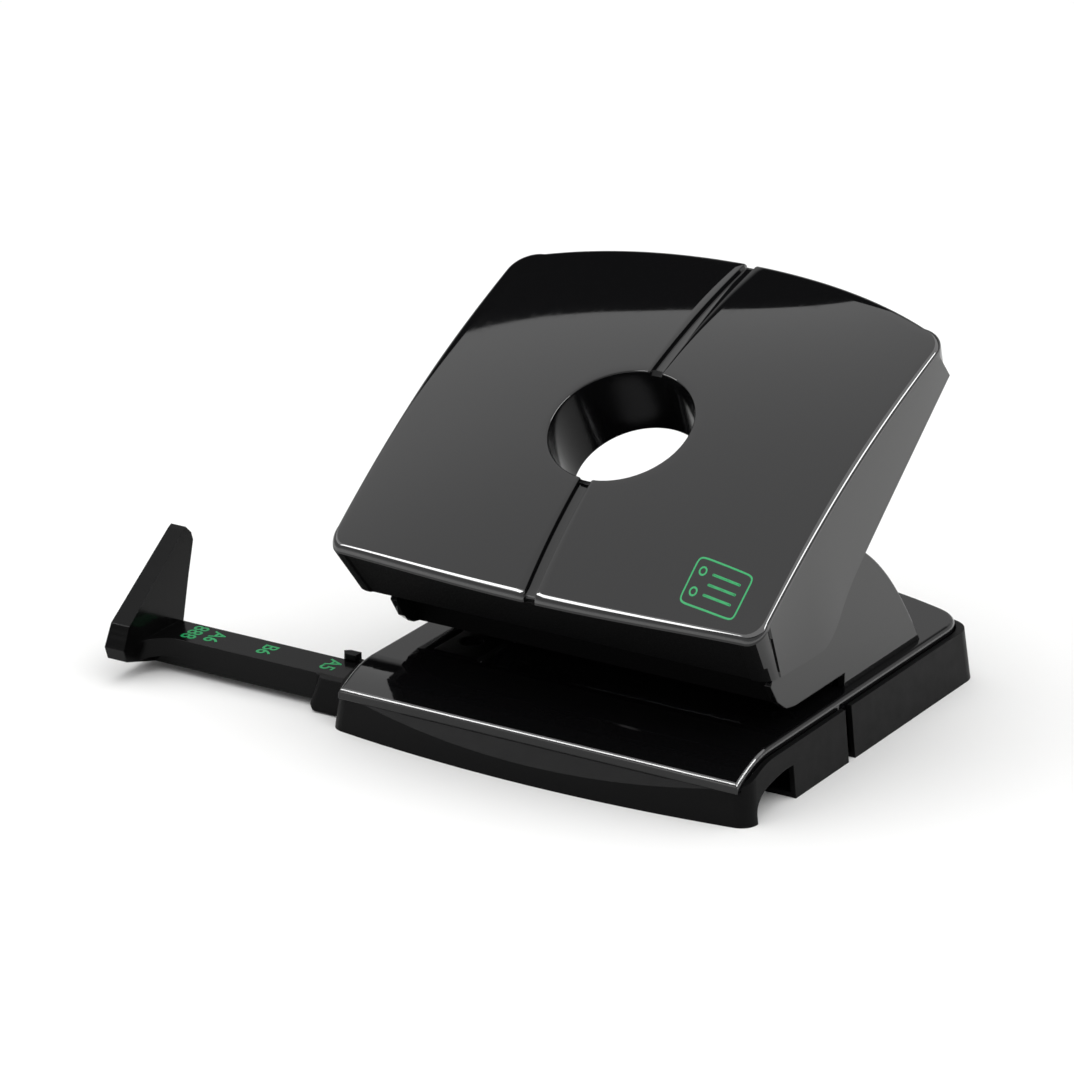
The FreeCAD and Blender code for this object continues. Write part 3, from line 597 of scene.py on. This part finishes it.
def make_hood(materials):
    """Hood as one closed skin, its sections set round the hole like the segments of a ring."""
    half = hood_rays()
    sections = []
    for k, (angle, ray) in enumerate(zip(hood_angles(len(half)), half)):
        before, after = half[max(k - 1, 0)].top, half[min(k + 1, len(half) - 1)].top
        ahead = (after - before).normalized()
        inward = Vector((-ahead.y, ahead.x, 0))
        sections.append(hood_section(angle, ray, inward))
    sections += [[Vector((-p.x, p.y, p.z)) for p in section] for section in reversed(sections[1:-1])]
    places = [place for section in sections for place in section]
    steps = len(sections[0])
    faces = grid_faces(len(sections), steps, True, True)
    piece = mesh_object("lever_hood", places, faces, materials[HOOD_SLOTS[0]])
    for name in HOOD_SLOTS[1:]:
        piece.data.materials.append(materials[name])
    for face in piece.data.polygons:
        face.material_index = HOOD_SLOTS.index(hood_slot(face, face.index % steps))
    return piece


BOSS_PLACE = (30.0, 1.5)
BOSS_R = 3.6
BOSS_BORE_R = 1.5
BOSS_FOOT_Z = 43.75
BOSS_CHAMFER = 0.4
BOSS_SIDES = 40
RIB_REACH = 8.0
RIB_THICK = 1.6
RIB_FOOT_Z = 52.0
RIB_STEPS = 9
INTO_WALL = 0.4


def under_hood(x, y, z):
    """Place at a height, or just inside the hood's wall where the height is None."""
    return Vector((x, y, hood_top(x, y).z - HOOD_DROP + INTO_WALL if z is None else z))


def make_boss(name, x, y, material):
    """Hollow post that a lever screw goes up into, joined to the hood."""
    profile = [(BOSS_BORE_R, None), (BOSS_BORE_R, BOSS_FOOT_Z), (BOSS_R - BOSS_CHAMFER, BOSS_FOOT_Z),
               (BOSS_R, BOSS_FOOT_Z + BOSS_CHAMFER), (BOSS_R, None)]
    places = []
    for angle in spread(0, 2 * math.pi, BOSS_SIDES + 1)[:-1]:
        for radius, z in profile:
            places.append(under_hood(x + radius * math.cos(angle), y + radius * math.sin(angle), z))
    return mesh_object(name, places, grid_faces(BOSS_SIDES, len(profile), True, True), material)


def make_rib(name, x, y, material):
    """Thin fore-and-aft wall that stiffens a boss."""
    corners = ((-1, RIB_FOOT_Z), (1, RIB_FOOT_Z), (1, None), (-1, None))
    places = []
    for along_y in spread(y - RIB_REACH, y + RIB_REACH, RIB_STEPS):
        for side, z in corners:
            places.append(under_hood(x + side * RIB_THICK / 2, along_y, z))
    front = tuple(range(len(corners)))
    back = tuple(range(len(places) - len(corners), len(places)))
    faces = grid_faces(RIB_STEPS, len(corners), False, True) + [front, back]
    return mesh_object(name, places, faces, material)


def make_hood_posts(material):
    """Boss and rib for the lever screw on each side."""
    for side, x in (("left", -BOSS_PLACE[0]), ("right", BOSS_PLACE[0])):
        for piece in (make_boss("hood_boss_" + side, x, BOSS_PLACE[1], material),
                      make_rib("hood_rib_" + side, x, BOSS_PLACE[1], material)):
            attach(piece, "lever")


# ---------------------------------------------------------------- printed marks

PRINT_LIFT = 0.02
PRINT_THICK = 0.03
BAR_TOP_Z = 8.3
MARK_Y = -24.0
MARK_SIZE = 5.18
MARK_BOLD = 0.06
POINTER_X = -61.6
STOP_REACH = 105.0
PAPER_HALF_WIDTHS = {"888": 68.5, "A6": 74.0, "B6": 88.0, "A5": 105.0}
ICON_CENTRE = (40.0, -30.0)
ICON_SIZE = (13.0, 9.0)
ICON_LINE = 0.36
ICON_SQUARE = 0.2
ICON_HOLE_R = 0.75
ICON_HOLE_AT = (-0.68, 0.45)
ICON_ROW_AT = (0.2, 0.45)
ICON_ROW_HALF = (0.5, 0.06)
SHEET_POINTS = 96
SMALL_POINTS = 32


def make_format_marks(material):
    """Plain paper format labels printed across the guide bar."""
    for label, half_width in PAPER_HALF_WIDTHS.items():
        curve = bpy.data.curves.new("mark_" + label, "FONT")
        curve.body = label
        curve.size = MARK_SIZE * MM
        curve.extrude = PRINT_THICK / 2 * MM
        curve.offset = MARK_BOLD * MM
        curve.align_x, curve.align_y = "CENTER", "CENTER"
        text = bpy.data.objects.new("label", curve)
        bpy.context.scene.collection.objects.link(text)
        shaped = text.evaluated_get(bpy.context.evaluated_depsgraph_get())
        mesh = bpy.data.meshes.new_from_object(shaped)
        bpy.data.objects.remove(text)
        mesh.materials.clear()
        mesh.materials.append(material)
        x = POINTER_X + half_width - STOP_REACH
        place = Vector((x, MARK_Y, BAR_TOP_Z + PRINT_LIFT)) * MM
        mesh.transform(Matrix.Translation(place) @ Matrix.Rotation(-math.pi / 2, 4, "Z"))
        mark = bpy.data.objects.new("mark_" + label, mesh)
        bpy.context.scene.collection.objects.link(mark)
        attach(mark, "guide_bar")


def printed_stroke(name, points, material):
    """Closed printed line on the hood through plan points, as a thin raised strip."""
    rings = []
    count = len(points)
    for k, point in enumerate(points):
        ahead = (points[(k + 1) % count] - points[k - 1]).normalized()
        side = Vector((-ahead.y, ahead.x, 0)) * ICON_LINE / 2
        for shift, lift in ((-1, PRINT_LIFT), (1, PRINT_LIFT), (1, PRINT_LIFT + PRINT_THICK),
                            (-1, PRINT_LIFT + PRINT_THICK)):
            place = point + side * shift
            rings.append(hood_top(place.x, place.y) + Vector((0, 0, lift)))
    piece = mesh_object(name, rings, grid_faces(count, 4, True, True), material)
    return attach(piece, "lever")


def ring_points(centre, half_w, half_h, power, count):
    """Superellipse in plan: power 1 is an ellipse, smaller is squarer."""
    points = []
    for k in range(count):
        angle = 2 * math.pi * k / count
        c, s = math.cos(angle), math.sin(angle)
        points.append(centre + Vector((half_w * math.copysign(abs(c) ** power, c),
                                       half_h * math.copysign(abs(s) ** power, s), 0)))
    return points


def make_icon(material):
    """Printed sign on the lever: a sheet of paper with a filing hole at each end of one edge."""
    centre = Vector((*ICON_CENTRE, 0))
    half_w, half_h = ICON_SIZE[0] / 2, ICON_SIZE[1] / 2
    sheet = ring_points(centre, half_w, half_h, ICON_SQUARE, SHEET_POINTS)
    printed_stroke("icon_sheet", sheet, material)
    for side, name in ((-1, "icon_hole_front"), (1, "icon_hole_back")):
        place = centre + Vector((half_w * ICON_HOLE_AT[0], side * half_h * ICON_HOLE_AT[1], 0))
        ring = ring_points(place, ICON_HOLE_R, ICON_HOLE_R, 1.0, SMALL_POINTS)
        printed_stroke(name, ring, material)
    for row in (-1, 0, 1):
        place = centre + Vector((half_w * ICON_ROW_AT[0], row * half_h * ICON_ROW_AT[1], 0))
        line = ring_points(place, half_w * ICON_ROW_HALF[0], ICON_ROW_HALF[1], ICON_SQUARE,
                           SMALL_POINTS)
        printed_stroke("icon_line_%d" % (row + 2), line, material)


# ---------------------------------------------------------------- springs


def make_springs(material):
    """Return springs, copied from their CAD nodes onto the base; the CAD nodes are hidden."""
    for side in ("left", "right"):
        node = frame["nodes"]["return_spring_" + side]
        spring = bpy.data.objects.new("coil_spring_" + side, node.data.copy())
        spring.data.materials.clear()
        spring.data.materials.append(material)
        bpy.context.scene.collection.objects.link(spring)
        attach(spring, "base")
        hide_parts(node.name)
        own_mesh(spring)


# ---------------------------------------------------------------- stage

PANEL_TOP_HEIGHT = 1.4
PANEL_TOP_NEARER = 0.25
PANEL_TOP_TURN = math.radians(6)
PANEL_TOP_SIZE = (5.6, 2.9)
PANEL_TOP_RADIANCE = 1.65
SIDE_PANELS = {"panel_left": (-142, 37), "panel_right": (75, 40)}
SIDE_PANEL_DISTANCE = 1.8
SIDE_PANEL_SIZE = (1.3, 0.5)
SIDE_PANEL_RADIANCE = 13.0
FILL_STRENGTH = 0.25
FILL_ANGLE = math.radians(70)


def add_camera():
    """Camera where the photograph was taken from."""
    data = bpy.data.cameras.new("camera")
    data.lens = LENS
    data.sensor_width = SENSOR
    data.clip_start, data.clip_end = 0.05, 50.0
    camera = bpy.data.objects.new("camera", data)
    camera.location = SPOT
    camera.rotation_euler = (math.pi / 2 - ELEVATION, 0, AZIMUTH)
    bpy.context.scene.collection.objects.link(camera)
    bpy.context.scene.camera = camera


def toward(azimuth, elevation, distance):
    """Place seen from the object at an azimuth from +Y towards +X, and an elevation, in degrees."""
    turn, rise = math.radians(azimuth), math.radians(elevation)
    level = math.cos(rise)
    return distance * Vector((math.sin(turn) * level, math.cos(turn) * level, math.sin(rise)))


def add_panel(name, place, facing, size, radiance):
    """Soft box: area light turned by facing, sized in metres, with a given surface brightness."""
    data = bpy.data.lights.new(name, "AREA")
    data.shape = "RECTANGLE"
    data.size, data.size_y = size
    data.energy = radiance * math.pi * size[0] * size[1]
    light = bpy.data.objects.new(name, data)
    light.matrix_world = Matrix.Translation(place) @ facing
    light.visible_camera = False
    bpy.context.scene.collection.objects.link(light)
    return light


def add_fill():
    """Broad light from above that only fills the floor, and isn't seen in the gloss."""
    data = bpy.data.lights.new("fill", "SUN")
    data.energy = FILL_STRENGTH
    data.angle = FILL_ANGLE
    fill = bpy.data.objects.new("fill", data)
    fill.visible_glossy = False
    bpy.context.scene.collection.objects.link(fill)


def add_lights():
    """Wide panel overhead, lined up with the camera, and a small strong one at each front side.

    The small ones are only there for the bright lines along the gloss edges."""
    ahead = Vector((-math.sin(AZIMUTH), math.cos(AZIMUTH), 0))
    add_panel("panel_top", Vector((0, 0, PANEL_TOP_HEIGHT)) - PANEL_TOP_NEARER * ahead,
              Matrix.Rotation(AZIMUTH - PANEL_TOP_TURN, 4, "Z"), PANEL_TOP_SIZE, PANEL_TOP_RADIANCE)
    for name, (azimuth, elevation) in SIDE_PANELS.items():
        place = toward(azimuth, elevation, SIDE_PANEL_DISTANCE)
        facing = place.to_track_quat("Z", "Y").to_matrix().to_4x4()
        panel = add_panel(name, place, facing, SIDE_PANEL_SIZE, SIDE_PANEL_RADIANCE)
        panel.visible_diffuse = False


# Heights up the sky with their greys; distances over which the floor's glow grows, and its end.
WORLD_STOPS = [(0.04, 0.95), (0.16, 0.5), (0.48, 0.5), (0.60, 0.01)]
FLOOR_GLOW = ((0.9, 2.5), 0.8)


def add_world():
    """White horizon, pale low surround, dark above it, so that gloss shows them all."""
    world = bpy.data.worlds.new("studio")
    world.use_nodes = True
    nodes, links = world.node_tree.nodes, world.node_tree.links
    place = nodes.new("ShaderNodeTexCoord")
    split = nodes.new("ShaderNodeSeparateXYZ")
    ramp = nodes.new("ShaderNodeValToRGB")
    stops = ramp.color_ramp.elements
    while len(stops) < len(WORLD_STOPS):
        stops.new(1.0)
    for stop, (height, grey) in zip(stops, WORLD_STOPS):
        stop.position = height
        stop.color = (grey, grey, grey, 1)
    links.new(place.outputs["Generated"], split.inputs[0])
    links.new(split.outputs["Z"], ramp.inputs["Fac"])
    links.new(ramp.outputs["Color"], nodes["Background"].inputs["Color"])
    bpy.context.scene.world = world


def add_floor():
    """Pale floor, lifted to white far out, where the panels don't reach."""
    mesh = bpy.data.meshes.new("floor")
    made = bmesh.new()
    bmesh.ops.create_circle(made, cap_ends=True, segments=64, radius=20.0)
    made.to_mesh(mesh)
    made.free()
    floor = bpy.data.objects.new("floor", mesh)
    material, shader = new_material("floor_white", (0.86, 0.86, 0.855), 0.7)
    shader.inputs["Specular IOR Level"].default_value = 0.2
    shader.inputs["Emission Color"].default_value = (1, 1, 1, 1)
    nodes, links = material.node_tree.nodes, material.node_tree.links
    place = nodes.new("ShaderNodeTexCoord")
    distance = nodes.new("ShaderNodeVectorMath")
    distance.operation = "LENGTH"
    links.new(place.outputs["Object"], distance.inputs[0])
    glow = remap(material, distance.outputs["Value"], *FLOOR_GLOW[0], 0.0, FLOOR_GLOW[1])
    links.new(glow, shader.inputs["Emission Strength"])
    mesh.materials.append(material)
    bpy.context.scene.collection.objects.link(floor)


# ---------------------------------------------------------------- scene

MATERIALS = make_materials()
dress_cad_nodes(MATERIALS)
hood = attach(make_hood(MATERIALS), "lever")
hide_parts("lever_cover")
make_hood_posts(MATERIALS["dull_black_and_shade"])
make_format_marks(MATERIALS["print_green"])
make_icon(MATERIALS["print_green"])
make_springs(MATERIALS["spring_steel"])
add_camera()
add_lights()
add_fill()
add_world()
add_floor()
bpy.context.scene.view_settings.view_transform = "Standard"
